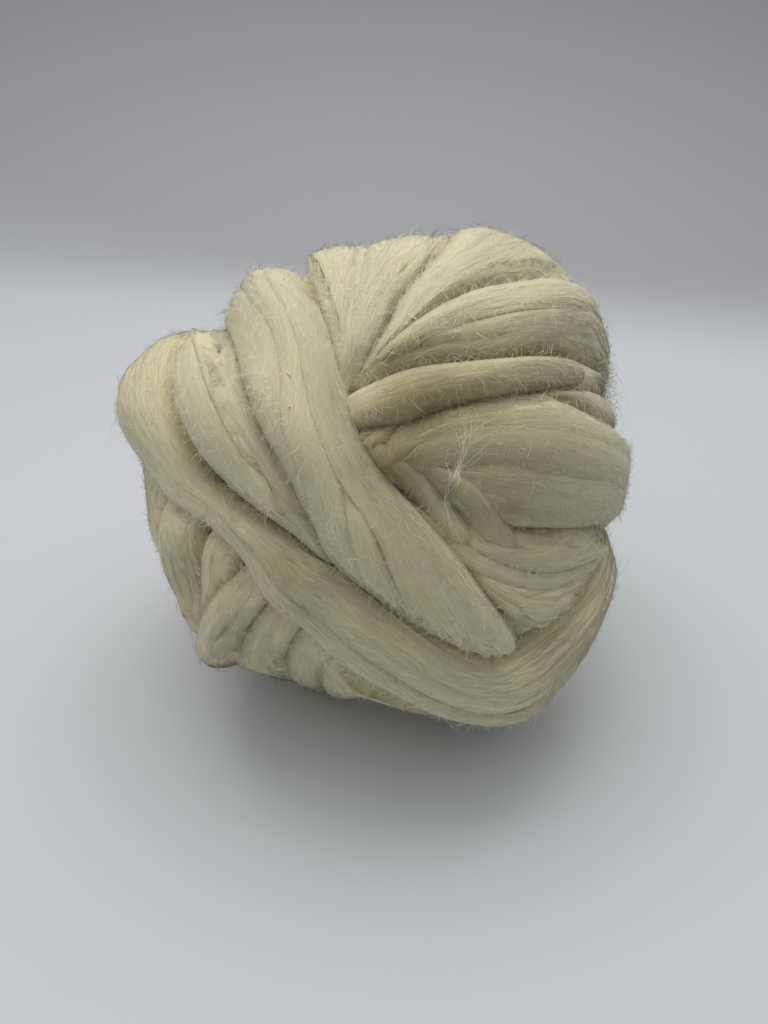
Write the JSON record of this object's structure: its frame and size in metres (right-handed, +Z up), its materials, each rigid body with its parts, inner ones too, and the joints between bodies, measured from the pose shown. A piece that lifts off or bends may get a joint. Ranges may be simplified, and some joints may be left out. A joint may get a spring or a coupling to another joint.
{
  "type": "ball of wool combed top",
  "caption": "Hand-wound ball of a thick untwisted strand of combed wool, with broad overlapping turns and a small hollow where they cross.",
  "frame": {"origin": "under the middle of the ball, on the surface that it rests on", "axes": "+Z up, -Y toward the side where the turns cross, +X to the right as that side is seen"},
  "size_m": [0.161, 0.1612, 0.1458],
  "materials": {
    "wool": "matt, soft and slightly fuzzy, undyed cream"
  },
  "bodies": {
    "root": {"wool_ball": "wool"}
  },
  "joints": []
}
